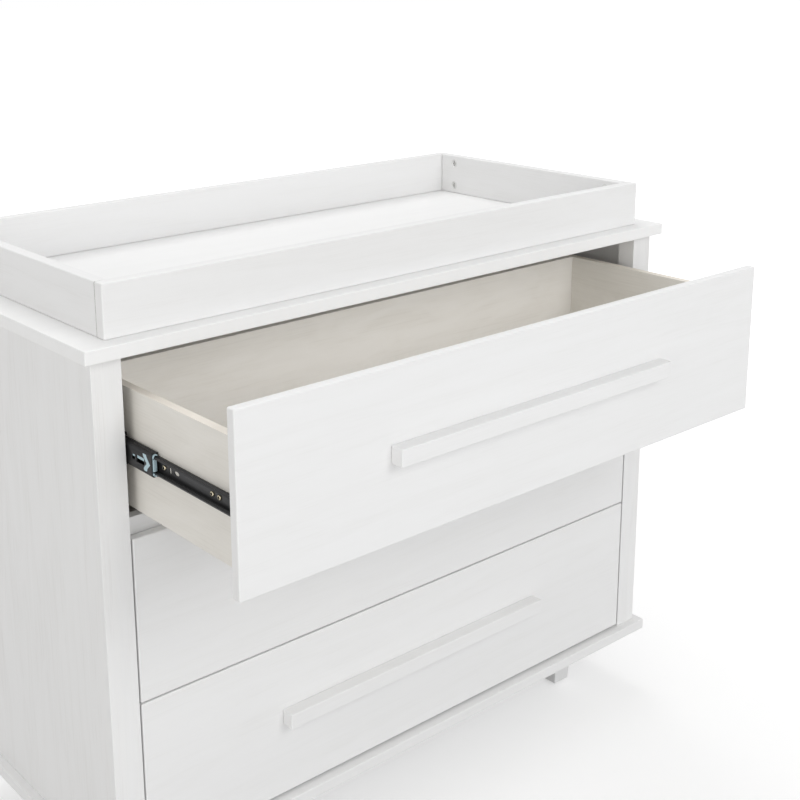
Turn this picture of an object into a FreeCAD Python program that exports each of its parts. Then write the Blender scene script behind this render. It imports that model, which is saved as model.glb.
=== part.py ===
"""Changing dresser: a three-drawer chest on four legs, with a tray for a changing pad on its top.

All lengths are in millimetres. X runs from left to right as seen from the front, Y from the front
to the back, Z up from the floor. The top drawer is modelled part of the way out, the other two shut.
"""
import FreeCAD, Part
import Sketcher
import os
from types import SimpleNamespace

SIZES = {
    # the top and base boards, and how far they stand past the case
    "top_width": (1080, "length of the top and base boards"),
    "top_depth": (513, "depth of the top and base boards, front to back"),
    "panel_thickness": (18, "thickness of the top and base boards"),
    "panel_edge_radius": (1.2, "rounding of the edges of the boards"),
    "side_overhang": (13.5, "top board past the side panel"),
    "front_overhang": (14, "top board past the front of the posts"),
    "back_overhang": (6, "top board past the back of the case"),
    # the case
    "side_thickness": (18, "thickness of a side panel"),
    "post_width": (24, "width of a corner post, inside the side panel"),
    "post_depth": (31, "depth of a corner post, front to back"),
    "post_edge_radius": (0.8, "rounding of the posts and side panels"),
    "rail_height": (40, "height of a rail between two drawers"),
    "rail_thickness": (15, "thickness of a rail, front to back"),
    "rail_clearance": (1.5, "rail behind the back of a shut drawer front"),
    "rail_lap": (17, "top of a rail above the lower edge of the front that it backs"),
    "back_thickness": (5, "thickness of the back panel"),
    # the legs
    "leg_height": (110, "floor to the underside of the base board"),
    "leg_top_width": (50, "side of a leg's square top"),
    "leg_foot_width": (34, "side of a leg's square foot"),
    "leg_edge_radius": (1, "rounding of a leg's edges"),
    "leg_inset": (85, "leg in from the ends and edges of the base board"),
    "leg_bolt_diameter": (8, "bolt that holds a leg"),
    "leg_bolt_grip": (40, "bolt inside the leg"),
    "leg_bolt_hold": (12, "bolt inside the base board"),
    "glide_diameter": (22, "plastic glide under a leg"),
    "glide_height": (4, "height of a glide"),
    # the tray for the changing pad
    "tray_end_inset": (40.5, "tray in from each end of the top board"),
    "tray_setback": (25, "tray behind the front edge of the top board"),
    "tray_back_inset": (25, "tray in front of the back edge of the top board"),
    "tray_height": (70, "height of the tray boards"),
    "tray_thickness": (18, "thickness of the tray boards"),
    "tray_edge_radius": (2, "rounding of the tray boards' edges"),
    "cam_diameter": (15, "cam lock in a tray end board"),
    "cam_depth": (12.5, "depth of a cam lock"),
    "cam_distance": (34, "centre of a cam lock to the end of its board"),
    "cam_margin": (14.5, "centre of a cam lock to the board's upper or lower edge"),
    "cam_slot_width": (1.4, "width of the cross slot in a cam lock"),
    "cam_slot_length": (8.5, "length of the cross slot"),
    "cam_slot_depth": (2, "depth of the cross slot"),
    "cam_pin_diameter": (6, "pin that a cam lock draws in"),
    "cam_pin_grip": (11, "pin inside the front or back tray board"),
    "bracket_width": (22, "width of a bracket behind the tray"),
    "bracket_thickness": (2, "thickness of a bracket"),
    "bracket_rise": (34, "bracket up the back of the tray"),
    "bracket_reach": (21, "bracket along the top board"),
    "bracket_spacing": (600, "centre to centre of the two brackets"),
    "bracket_screw_length": (12, "screws of a bracket"),
    "bracket_hole_clearance": (0.5, "hole in the top board round a bracket's screw"),
    # drawer fronts and the gaps round them
    "top_front_height": (228, "height of the top drawer's front"),
    "middle_front_height": (228.7, "height of the middle drawer's front"),
    "bottom_front_height": (232.7, "height of the bottom drawer's front"),
    "top_gap": (7.5, "top drawer front below the top board"),
    "upper_gap": (5.7, "gap between the top and middle fronts"),
    "lower_gap": (2.4, "gap between the middle and bottom fronts"),
    "base_gap": (3.7, "bottom front above the base board"),
    "side_gap": (2.5, "gap between a front and a post"),
    "front_thickness": (14, "thickness of a drawer front"),
    "front_edge_radius": (2, "rounding of a drawer front's edges"),
    "rest_opening": (231, "how far the top drawer stands open"),
    # drawer boxes
    "box_length": (350, "length of a drawer side"),
    "box_height": (159, "height of a drawer side"),
    "box_rise": (29, "drawer side above the lower edge of its front"),
    "box_thickness": (12, "thickness of a drawer's side and back boards"),
    "box_edge_radius": (0.6, "rounding of the drawer side and back boards"),
    "back_inset": (13, "drawer back in from the ends of the sides"),
    "bottom_thickness": (5, "thickness of a drawer bottom"),
    "bottom_rise": (10, "drawer bottom above the lower edge of the sides"),
    "groove_depth": (6, "groove that holds the drawer bottom"),
    "groove_clearance": (0.2, "groove wider than the drawer bottom"),
    # handles
    "handle_length": (515, "length of a bar handle"),
    "handle_height": (23.4, "height of a bar handle"),
    "handle_depth": (20.6, "how far a handle stands out from its front"),
    "handle_drop": (98.2, "upper edge of the front down to the handle"),
    "handle_edge_radius": (1.5, "rounding of the handle's edges"),
    "handle_screw_spacing": (384, "centre to centre of a handle's two screws"),
    "handle_screw_grip": (12, "handle screw inside the handle"),
    "handle_screw_diameter": (4, "handle screw"),
    "handle_head_diameter": (9, "head of a handle screw"),
    "handle_head_height": (2.6, "height of a handle screw's head"),
    # drawer slides: case member, runner and drawer member, one inside another
    "slide_tail": (3, "slide past the rear end of its drawer side"),
    "slide_thickness": (12.7, "case to drawer side across a slide"),
    "slide_setback": (3, "slide behind the back of its drawer front"),
    "cleat_proud": (1.6, "cleat past the inner face of the posts"),
    "cleat_height": (60, "height of the strip that carries a slide"),
    "steel_thickness": (1.2, "sheet steel of the slides"),
    "steel_bend_radius": (0.4, "rounding of the steel's long edges"),
    "member_play": (0.4, "case member to runner, web to web"),
    "member_lip": (2.4, "height of the lips on the steel members"),
    "case_member_height": (42, "height of a case member"),
    "case_member_reach": (10.6, "depth of a case member"),
    "runner_height": (31, "height of a runner"),
    "runner_reach": (9.4, "depth of a runner"),
    "runner_setback": (21.5, "runner behind the case member's front end when shut"),
    "runner_tail": (18.5, "runner in front of the case member's rear end when shut"),
    "runner_share": (0.4, "runner's travel for each unit of the drawer's travel"),
    "runner_window_length": (14, "window near the runner's front end"),
    "runner_window_height": (9, "height of the window"),
    "runner_window_setback": (19, "window behind the runner's front end"),
    "drawer_member_height": (22.7, "height of a drawer member"),
    "retainer_web": (1, "web of the plastic ball retainer"),
    "retainer_length": (120, "length of a ball retainer"),
    "retainer_proud": (1.5, "ball retainer in front of its runner"),
    "running_gap": (0.3, "drawer member to ball retainer"),
    "front_hole_setback": (31, "first screw behind a member's front end"),
    "second_hole_setback": (45.4, "second screw behind a member's front end"),
    "oval_hole_setback": (120.6, "oval adjusting hole"),
    "upright_slot_setback": (134.6, "upright adjusting slot"),
    "rear_hole_setback": (146.5, "third screw behind a member's front end"),
    "tail_hole_inset": (32, "last screw of a case member, in from its rear end"),
    "adjusting_length": (8, "length of an adjusting slot"),
    "adjusting_width": (4, "width of an adjusting slot"),
    # small wood screws
    "screw_diameter": (3.5, "shank of a small screw"),
    "screw_head_diameter": (7, "head of a small screw"),
    "screw_crown_diameter": (4.4, "flat top of a small screw's head"),
    "screw_head_height": (1.8, "height of a small screw's head"),
    "sunk_head_diameter": (7.6, "flush head of a case member's screw, and its hole"),
    "slide_screw_length": (9, "screw of a slide, under its head"),
    "back_screw_length": (16, "screw of the back panel, under its head"),
    "back_screw_margin": (40, "first screw from the ends of the back panel"),
}
BACK_SCREWS_PER_SIDE = 5


class Formula:
    """A length as a formula on the sheet's cells, with the number that it comes to."""

    def __init__(self, text, number):
        self.text = text
        self.number = number

    def __add__(self, other):
        return Formula(f"({self.text} + {text_of(other)})", self.number + number_of(other))

    def __sub__(self, other):
        return Formula(f"({self.text} - {text_of(other)})", self.number - number_of(other))

    def __mul__(self, other):
        return Formula(f"({self.text} * {text_of(other)})", self.number * number_of(other))

    def __truediv__(self, other):
        return Formula(f"({self.text} / {text_of(other)})", self.number / number_of(other))

    def __radd__(self, other):
        return Formula(text_of(other), other) + self

    def __rsub__(self, other):
        return Formula(text_of(other), other) - self

    def __rmul__(self, other):
        return Formula(text_of(other), other) * self

    def __neg__(self):
        return 0 - self


def text_of(value):
    """The formula's text, or a bare number's."""
    return value.text if isinstance(value, Formula) else str(value)


def number_of(value):
    """What the formula comes to, or the bare number."""
    return value.number if isinstance(value, Formula) else value


doc = FreeCAD.newDocument("changing_dresser")
sheet = doc.addObject("Spreadsheet::Sheet", "Sizes")
for row, (alias, (value, meaning)) in enumerate(SIZES.items(), start=1):
    sheet.set(f"A{row}", meaning)
    sheet.set(f"B{row}", str(value))
    sheet.setAlias(f"B{row}", alias)
doc.recompute()
size = SimpleNamespace(**{alias: Formula(f"Sizes.{alias}", entry[0]) for alias, entry in SIZES.items()})


# ---- ways of making a piece ------------------------------------------------------------------

nodes = []


def keep(feature, label):
    """Counts the feature among the dresser's pieces, under its own name."""
    feature.Label = label
    nodes.append(feature)
    return feature


def bind(feature, place, value):
    """Ties one of the feature's properties to a formula."""
    feature.setExpression(place, text_of(value))


def put(feature, corner, direction=(0, 0, 1)):
    """Places a feature by its corner, with its own Z turned to the direction."""
    turn = FreeCAD.Rotation(FreeCAD.Vector(0, 0, 1), FreeCAD.Vector(*direction))
    feature.Placement = FreeCAD.Placement(FreeCAD.Vector(), turn)
    for axis, coordinate in zip("xyz", corner):
        bind(feature, f"Placement.Base.{axis}", coordinate)


def new_body(name, corner):
    """An empty body whose origin stands at the corner."""
    body = doc.addObject("PartDesign::Body", name)
    put(body, corner)
    return body


def own_plane(body, role):
    """One of the body's own origin planes."""
    return next(item for item in body.Origin.OriginFeatures if item.Role == role)


def new_sketch(body, role, level=0):
    """A sketch on one of the body's own planes, moved by level along the plane's normal."""
    sketch = body.newObject("Sketcher::SketchObject", "Sketch")
    sketch.AttachmentSupport = [(own_plane(body, role), "")]
    sketch.MapMode = "FlatFace"
    bind(sketch, "AttachmentOffset.Base.z", level)
    return sketch


def tie_point(sketch, geometry, point, x, y):
    """Ties a point of the sketch to its distances from the sketch's origin."""
    for kind, axis, distance in (("DistanceX", -2, x), ("DistanceY", -1, y)):
        if number_of(distance) == 0:
            sketch.addConstraint(Sketcher.Constraint("PointOnObject", geometry, point, axis))
        else:
            rule = Sketcher.Constraint(kind, -1, 1, geometry, point, number_of(distance))
            index = sketch.addConstraint(rule)
            bind(sketch, f"Constraints[{index}]", distance)


def vector(x, y):
    """A point of a sketch."""
    return FreeCAD.Vector(number_of(x), number_of(y), 0)


def draw_outline(sketch, points):
    """A closed outline of straight lines, each corner tied to its place."""
    corners = [vector(x, y) for x, y in points]
    lines = [Part.LineSegment(a, b) for a, b in zip(corners, corners[1:] + corners[:1])]
    first = sketch.addGeometry(lines[0], False)
    for line in lines[1:]:
        sketch.addGeometry(line, False)
    for index, (x, y) in enumerate(points):
        after = (index + 1) % len(points)
        sketch.addConstraint(Sketcher.Constraint("Coincident", first + index, 2, first + after, 1))
        tie_point(sketch, first + index, 1, x, y)


def draw_rectangle(sketch, x, y, width, height):
    """A rectangle by its lower left corner and its size."""
    draw_outline(sketch, [(x, y), (x + width, y), (x + width, y + height), (x, y + height)])


def draw_circle(sketch, x, y, diameter):
    """A circle tied by its centre and its diameter."""
    circle = Part.Circle(vector(x, y), FreeCAD.Vector(0, 0, 1), number_of(diameter) / 2)
    geometry = sketch.addGeometry(circle, False)
    tie_point(sketch, geometry, 3, x, y)
    index = sketch.addConstraint(Sketcher.Constraint("Diameter", geometry, number_of(diameter)))
    bind(sketch, f"Constraints[{index}]", diameter)


def pad(body, sketch, length, reverse=False):
    """Raises the sketch to a solid, along its normal or against it."""
    feature = body.newObject("PartDesign::Pad", "Pad")
    feature.Profile = sketch
    feature.Reversed = reverse
    bind(feature, "Length", length)
    body.Tip = feature
    doc.recompute()


def pocket(body, sketch, depth, reverse=False):
    """Cuts the sketch out, against its normal or along it, and sees that something went."""
    before = body.Shape.Volume
    feature = body.newObject("PartDesign::Pocket", "Pocket")
    feature.Profile = sketch
    feature.Reversed = reverse
    bind(feature, "Length", depth)
    body.Tip = feature
    doc.recompute()
    if not body.Shape.Volume < before:
        raise ValueError(f"a pocket in {body.Name} cuts nothing")


def soften(body, radius, chosen=lambda edge: True):
    """Rounds the chosen edges of the body."""
    base = body.Tip
    names = [f"Edge{n}" for n, edge in enumerate(base.Shape.Edges, start=1) if chosen(edge)]
    feature = body.newObject("PartDesign::Fillet", "Fillet")
    feature.Base = (base, names)
    bind(feature, "Radius", radius)
    body.Tip = feature
    doc.recompute()


def board(name, extent, corner, edge_radius, flush_joint=None):
    """A flat board with softened edges, by its extent along X, Y and Z and its lowest corner.

    flush_joint is the X and Y, in the board, of an upright edge that is glued flush to the next
    board, filled and painted over. It isn't softened.
    """
    body = new_body(name, corner)
    sketch = new_sketch(body, "XY_Plane")
    draw_rectangle(sketch, 0, 0, extent[0], extent[1])
    pad(body, sketch, extent[2])

    def is_open(edge):
        middle = edge.CenterOfMass
        return flush_joint is None or middle.distanceToPoint(
            vector(*flush_joint) + FreeCAD.Vector(0, 0, middle.z)) > 0.01

    soften(body, edge_radius, is_open)
    return keep(body, name)


def box(extent, corner):
    """A plain block."""
    feature = doc.addObject("Part::Box", "Block")
    for place, value in zip(("Length", "Width", "Height"), extent):
        bind(feature, place, value)
    put(feature, corner)
    return feature


def rod(diameter, length, start, direction):
    """A round rod from its start along the direction."""
    feature = doc.addObject("Part::Cylinder", "Rod")
    bind(feature, "Radius", diameter / 2)
    bind(feature, "Height", length)
    put(feature, start, direction)
    return feature


def fuse(pieces):
    """Several shapes made one solid."""
    feature = doc.addObject("Part::MultiFuse", "Fusion")
    feature.Shapes = pieces
    return feature


def group(label, pieces):
    """Separate solids of one kind under one name."""
    feature = doc.addObject("Part::Compound", label)
    feature.Links = pieces
    return keep(feature, label)


def screw(seat, direction, length, shank, head, crown, head_height):
    """A screw with a domed head: the seat is under its head, the direction is where it points."""
    back = [-step for step in direction]
    dome = doc.addObject("Part::Cone", "Head")
    bind(dome, "Radius1", head / 2)
    bind(dome, "Radius2", crown / 2)
    bind(dome, "Height", head_height)
    put(dome, seat, back)
    return fuse([dome, rod(shank, length, seat, direction)])


def small_screw(seat, direction, length):
    """A wood screw of the size used for the slides, the back panel and the brackets."""
    return screw(seat, direction, length, size.screw_diameter, size.screw_head_diameter,
                 size.screw_crown_diameter, size.screw_head_height)


def sunk_screw(seat, direction, length):
    """A screw whose head widens from the seat to lie flush in the sheet steel that it holds."""
    return screw(seat, direction, length, size.screw_diameter, size.screw_diameter,
                 size.sunk_head_diameter, size.steel_thickness)


# ---- where things stand ----------------------------------------------------------------------

SIDES = (("left", -1), ("right", 1))

# The frame's origin is on the floor, midway between the open drawer's handle and the back edge.
front_y = (size.rest_opening + size.handle_depth + size.front_overhang - size.top_depth) / 2
case_width = size.top_width - 2 * size.side_overhang
case_depth = size.top_depth - size.front_overhang - size.back_overhang
back_y = front_y + case_depth
opening_width = case_width - 2 * size.side_thickness - 2 * size.post_width

base_top_z = size.leg_height + size.panel_thickness
bottom_front_z = base_top_z + size.base_gap
middle_front_z = bottom_front_z + size.bottom_front_height + size.lower_gap
top_front_z = middle_front_z + size.middle_front_height + size.upper_gap
top_z = top_front_z + size.top_front_height + size.top_gap
case_height = top_z - base_top_z

front_width = opening_width - 2 * size.side_gap
slide_face_x = opening_width / 2 - size.cleat_proud
box_width = 2 * (slide_face_x - size.slide_thickness)
inner_width = box_width - 2 * size.box_thickness
slide_length = size.box_length - size.slide_setback + size.slide_tail

tray_width = size.top_width - 2 * size.tray_end_inset
tray_depth = size.top_depth - size.tray_setback - size.tray_back_inset


def low_x(sign, inner, thickness):
    """The lower X of a board whose inner face lies that far from the middle, on either side."""
    return inner if sign > 0 else -inner - thickness


# ---- top, base and case ----------------------------------------------------------------------

plate = (size.top_width, size.top_depth, size.panel_thickness)
plate_x = -size.top_width / 2
plate_y = front_y - size.front_overhang
tray_y = plate_y + size.tray_setback
tray_back_y = tray_y + tray_depth
bracket_screw_y = tray_back_y + (size.bracket_reach + size.bracket_thickness) / 2
bracket_hole = size.screw_diameter + 2 * size.bracket_hole_clearance

top_panel = board("top_panel", plate, (plate_x, plate_y, top_z), size.panel_edge_radius)
hole_sketch = new_sketch(top_panel, "XY_Plane", size.panel_thickness)
for side, sign in SIDES:
    draw_circle(hole_sketch, size.top_width / 2 + sign * size.bracket_spacing / 2,
                bracket_screw_y - plate_y, bracket_hole)
pocket(top_panel, hole_sketch, size.bracket_screw_length)

board("base_panel", plate, (plate_x, plate_y, size.leg_height), size.panel_edge_radius)

panel_inner_x = case_width / 2 - size.side_thickness
post_inner_x = opening_width / 2
rear_post_y = back_y - size.back_thickness - size.post_depth
for side, sign in SIDES:
    board(f"side_panel_{side}", (size.side_thickness, case_depth, case_height),
          (low_x(sign, panel_inner_x, size.side_thickness), front_y, base_top_z),
          size.post_edge_radius, (0 if sign > 0 else size.side_thickness, 0))
    for place, post_y, joint in (("front", front_y, (size.post_width if sign > 0 else 0, 0)),
                                 ("rear", rear_post_y, None)):
        board(f"{place}_post_{side}", (size.post_width, size.post_depth, case_height),
              (low_x(sign, post_inner_x, size.post_width), post_y, base_top_z),
              size.post_edge_radius, joint)

rail = (opening_width, size.rail_thickness, size.rail_height)
rail_y = front_y + size.front_thickness + size.rail_clearance
for name, front_z in (("rail_upper", top_front_z), ("rail_lower", middle_front_z)):
    board(name, rail, (-opening_width / 2, rail_y, front_z + size.rail_lap - size.rail_height),
          size.post_edge_radius)
board("rear_rail", rail,
      (-opening_width / 2, back_y - size.back_thickness - size.rail_thickness,
       top_z - size.rail_height),
      size.post_edge_radius)

board("back_panel", (2 * panel_inner_x, size.back_thickness, case_height),
      (-panel_inner_x, back_y - size.back_thickness, base_top_z), size.post_edge_radius)


# ---- legs ------------------------------------------------------------------------------------

def leg(name, centre_x, centre_y):
    """A leg that widens from its square foot to its square top."""
    body = new_body(name, (centre_x, centre_y, size.glide_height))
    taper = body.newObject("PartDesign::AdditiveWedge", "Taper")
    taper.AttachmentSupport = [(own_plane(body, "XZ_Plane"), "")]
    taper.MapMode = "FlatFace"
    for foot_side, top_side, way in (("min", "2min", -1), ("max", "2max", 1)):
        for axis in "XZ":
            bind(taper, f"{axis}{foot_side}", way * size.leg_foot_width / 2)
            bind(taper, f"{axis}{top_side}", way * size.leg_top_width / 2)
    bind(taper, "Ymin", 0)
    bind(taper, "Ymax", size.leg_height - size.glide_height)
    body.Tip = taper
    doc.recompute()
    soften(body, size.leg_edge_radius)
    return keep(body, name)


leg_bolts = []
leg_glides = []
leg_reach = size.leg_inset + size.leg_top_width / 2
for place, leg_y in (("front", plate_y + leg_reach), ("rear", plate_y + size.top_depth - leg_reach)):
    for side, sign in SIDES:
        leg_x = sign * (size.top_width / 2 - leg_reach)
        leg(f"leg_{place}_{side}", leg_x, leg_y)
        leg_bolts.append(rod(size.leg_bolt_diameter, size.leg_bolt_grip + size.leg_bolt_hold,
                             (leg_x, leg_y, size.leg_height - size.leg_bolt_grip), (0, 0, 1)))
        leg_glides.append(rod(size.glide_diameter, size.glide_height, (leg_x, leg_y, 0), (0, 0, 1)))
group("leg_bolts", leg_bolts)
group("leg_glides", leg_glides)


# ---- tray ------------------------------------------------------------------------------------

tray_z = top_z + size.panel_thickness
end_length = tray_depth - 2 * size.tray_thickness
end_inner_x = tray_width / 2 - size.tray_thickness
end_y = tray_y + size.tray_thickness
for name, board_y in (("tray_front", tray_y), ("tray_back", tray_back_y - size.tray_thickness)):
    board(name, (tray_width, size.tray_thickness, size.tray_height),
          (-tray_width / 2, board_y, tray_z), size.tray_edge_radius)


def cam_fitting(sign, cam_y, cam_z, towards):
    """A cam lock, flush in the inner face of an end board, and the pin that it draws in."""
    face = (sign * end_inner_x, cam_y, cam_z)
    cam = rod(size.cam_diameter, size.cam_depth, face, (sign, 0, 0))
    slot_x = end_inner_x if sign > 0 else -end_inner_x - size.cam_slot_depth
    slots = [box((size.cam_slot_depth, wide, high), (slot_x, cam_y - wide / 2, cam_z - high / 2))
             for wide, high in ((size.cam_slot_width, size.cam_slot_length),
                                (size.cam_slot_length, size.cam_slot_width))]
    lock = doc.addObject("Part::Cut", "CamLock")
    lock.Base = cam
    lock.Tool = fuse(slots)
    pin_start = (sign * (end_inner_x + size.tray_thickness / 2),
                 cam_y + towards * size.cam_diameter / 2, cam_z)
    pin_length = size.cam_distance - size.cam_diameter / 2 + size.cam_pin_grip
    return [lock, rod(size.cam_pin_diameter, pin_length, pin_start, (0, towards, 0))]


cam_fittings = []
for side, sign in SIDES:
    end = board(f"tray_{side}", (size.tray_thickness, end_length, size.tray_height),
                (low_x(sign, end_inner_x, size.tray_thickness), end_y, tray_z),
                size.tray_edge_radius)
    inner_face = 0 if sign > 0 else size.tray_thickness
    seats = new_sketch(end, "YZ_Plane", inner_face)
    for along_y, towards in ((size.cam_distance, -1), (end_length - size.cam_distance, 1)):
        for up in (size.cam_margin, size.tray_height - size.cam_margin):
            draw_circle(seats, along_y, up, size.cam_diameter)
            cam_fittings += cam_fitting(sign, end_y + along_y, tray_z + up, towards)
    pocket(end, seats, size.cam_depth, reverse=sign > 0)
group("tray_cam_fittings", cam_fittings)

brackets = []
bracket_screws = []
for side, sign in SIDES:
    centre_x = sign * size.bracket_spacing / 2
    corner = (centre_x - size.bracket_width / 2, tray_back_y, tray_z)
    seats = (((centre_x, tray_back_y + size.bracket_thickness,
               tray_z + size.bracket_rise - size.bracket_width / 2), (0, -1, 0)),
             ((centre_x, bracket_screw_y, tray_z + size.bracket_thickness), (0, 0, -1)))
    bracket = doc.addObject("Part::Cut", "Bracket")
    bracket.Base = fuse([
        box((size.bracket_width, size.bracket_thickness, size.bracket_rise), corner),
        box((size.bracket_width, size.bracket_reach, size.bracket_thickness), corner)])
    bracket.Tool = fuse([
        rod(bracket_hole, size.bracket_thickness, seat, direction) for seat, direction in seats])
    brackets.append(bracket)
    for seat, direction in seats:
        bracket_screws.append(small_screw(seat, direction, size.bracket_screw_length))
group("tray_brackets", brackets)
group("tray_screws", bracket_screws)


# ---- drawer slides ---------------------------------------------------------------------------

def channel(name, sign, front_end_y, centre_z, web, reach, height, length, wall, flange, lip):
    """A steel or plastic channel along Y, by its cross-section.

    web and reach are the distances of the web's back and the flanges' ends from the face of the
    cleat, towards the drawer. wall is the web's thickness and flange the flanges'. A lip turns in
    from the end of each flange, and is as high as the flange is thick where there is none.
    """
    step = 1 if number_of(reach) > number_of(web) else -1
    web_face = web + step * wall
    lip_face = reach - step * wall
    half = height / 2
    lower = [(web, -half), (reach, -half)]
    if lip is not None:
        lower += [(reach, lip - half), (lip_face, lip - half), (lip_face, flange - half)]
    else:
        lower += [(reach, flange - half)]
    lower += [(web_face, flange - half)]
    upper = [(across, -up) for across, up in reversed(lower)]
    body = new_body(name, (sign * slide_face_x, front_end_y, centre_z))
    sketch = new_sketch(body, "XZ_Plane")
    draw_outline(sketch, [(-sign * across, up) for across, up in lower + upper])
    pad(body, sketch, length, reverse=True)
    return body


def runs_along_y(edge):
    """Whether an edge is one of a channel's long ones."""
    start, end = (vertex.Point for vertex in edge.Vertexes)
    return abs(start.x - end.x) + abs(start.z - end.z) < 1e-6


def steel_channel(name, sign, front_end_y, centre_z, web, reach, height, length):
    """A channel of bent sheet steel with lips, its long edges rounded."""
    body = channel(name, sign, front_end_y, centre_z, web, reach, height, length,
                   size.steel_thickness, size.steel_thickness, size.member_lip)
    soften(body, size.steel_bend_radius, runs_along_y)
    return body


def pierce(body, sign, web, shapes):
    """Cuts holes through a channel's web: each shape is a drawing function and its arguments."""
    sketch = new_sketch(body, "YZ_Plane", -sign * web)
    for draw, *arguments in shapes:
        draw(sketch, *arguments)
    pocket(body, sketch, size.steel_thickness, reverse=sign > 0)


def member_holes(setbacks, diameter):
    """Screw holes through a member's web, on its centre line."""
    return [(draw_circle, setback, 0, diameter) for setback in setbacks]


runner_web = size.steel_thickness + size.member_play
runner_face = runner_web + size.steel_thickness
runner_end = runner_web + size.runner_reach
runner_length = slide_length - size.runner_setback - size.runner_tail
retainer_height = size.runner_height - 2 * size.steel_thickness
retainer_flange = (retainer_height - size.drawer_member_height) / 2 - size.running_gap
drawer_member_web = size.slide_thickness
drawer_member_end = runner_face + size.retainer_web + size.running_gap
drawer_screws = (size.front_hole_setback, size.second_hole_setback, size.rear_hole_setback)
case_screws_at = (size.second_hole_setback, size.rear_hole_setback,
                  slide_length - size.tail_hole_inset)


def slide_pair(opened, centre_z):
    """Both slides of one drawer, each a case member, runner, retainer and drawer member."""
    pairs = SimpleNamespace(case_members=[], runners=[], retainers=[], drawer_members=[],
                            case_screws=[], drawer_screws=[])
    shut_y = front_y + size.front_thickness + size.slide_setback
    runner_y = shut_y + size.runner_setback - size.runner_share * opened
    open_y = shut_y - opened
    for side, sign in SIDES:
        fixed = steel_channel("CaseMember", sign, shut_y, centre_z, 0, size.case_member_reach,
                              size.case_member_height, slide_length)
        pierce(fixed, sign, size.steel_thickness, member_holes(case_screws_at, size.sunk_head_diameter))
        pairs.case_members.append(fixed)

        runner = steel_channel("Runner", sign, runner_y, centre_z, runner_web, runner_end,
                               size.runner_height, runner_length)
        pierce(runner, sign, runner_face,
               [(draw_rectangle, size.runner_window_setback, -size.runner_window_height / 2,
                 size.runner_window_length, size.runner_window_height)])
        pairs.runners.append(runner)

        retainer = channel("Retainer", sign, runner_y - size.retainer_proud, centre_z, runner_face,
                           runner_end - size.steel_thickness, retainer_height,
                           size.retainer_length, size.retainer_web, retainer_flange, None)
        soften(retainer, size.steel_bend_radius, runs_along_y)
        pairs.retainers.append(retainer)

        moving = steel_channel("DrawerMember", sign, open_y, centre_z, drawer_member_web,
                               drawer_member_end, size.drawer_member_height, slide_length)
        holes = member_holes(drawer_screws, size.screw_diameter)
        holes.append((draw_rectangle, size.oval_hole_setback - size.adjusting_length / 2,
                      -size.adjusting_width / 2, size.adjusting_length, size.adjusting_width))
        holes.append((draw_rectangle, size.upright_slot_setback - size.adjusting_width / 2,
                      -size.adjusting_length / 2, size.adjusting_width, size.adjusting_length))
        pierce(moving, sign, drawer_member_web, holes)
        pairs.drawer_members.append(moving)

        for setback in case_screws_at:
            pairs.case_screws.append(sunk_screw((sign * slide_face_x, shut_y + setback, centre_z),
                                                (sign, 0, 0), size.slide_screw_length))
        drawer_seat_x = sign * (slide_face_x - size.slide_thickness + size.steel_thickness)
        for setback in drawer_screws:
            pairs.drawer_screws.append(small_screw((drawer_seat_x, open_y + setback, centre_z),
                                                   (-sign, 0, 0), size.slide_screw_length))
    return pairs


# ---- drawers ---------------------------------------------------------------------------------

def grooved_side(name, sign, corner):
    """A drawer side with the groove that holds the bottom, in its inner face."""
    body = new_body(name, corner)
    outline = new_sketch(body, "XY_Plane")
    draw_rectangle(outline, 0, 0, size.box_thickness, size.box_length)
    pad(body, outline, size.box_height)
    soften(body, size.box_edge_radius)
    groove_x = 0 if sign > 0 else size.box_thickness - size.groove_depth
    groove = new_sketch(body, "XZ_Plane")
    draw_rectangle(groove, groove_x, size.bottom_rise, size.groove_depth,
                   size.bottom_thickness + size.groove_clearance)
    pocket(body, groove, size.box_length)
    return keep(body, name)


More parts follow.
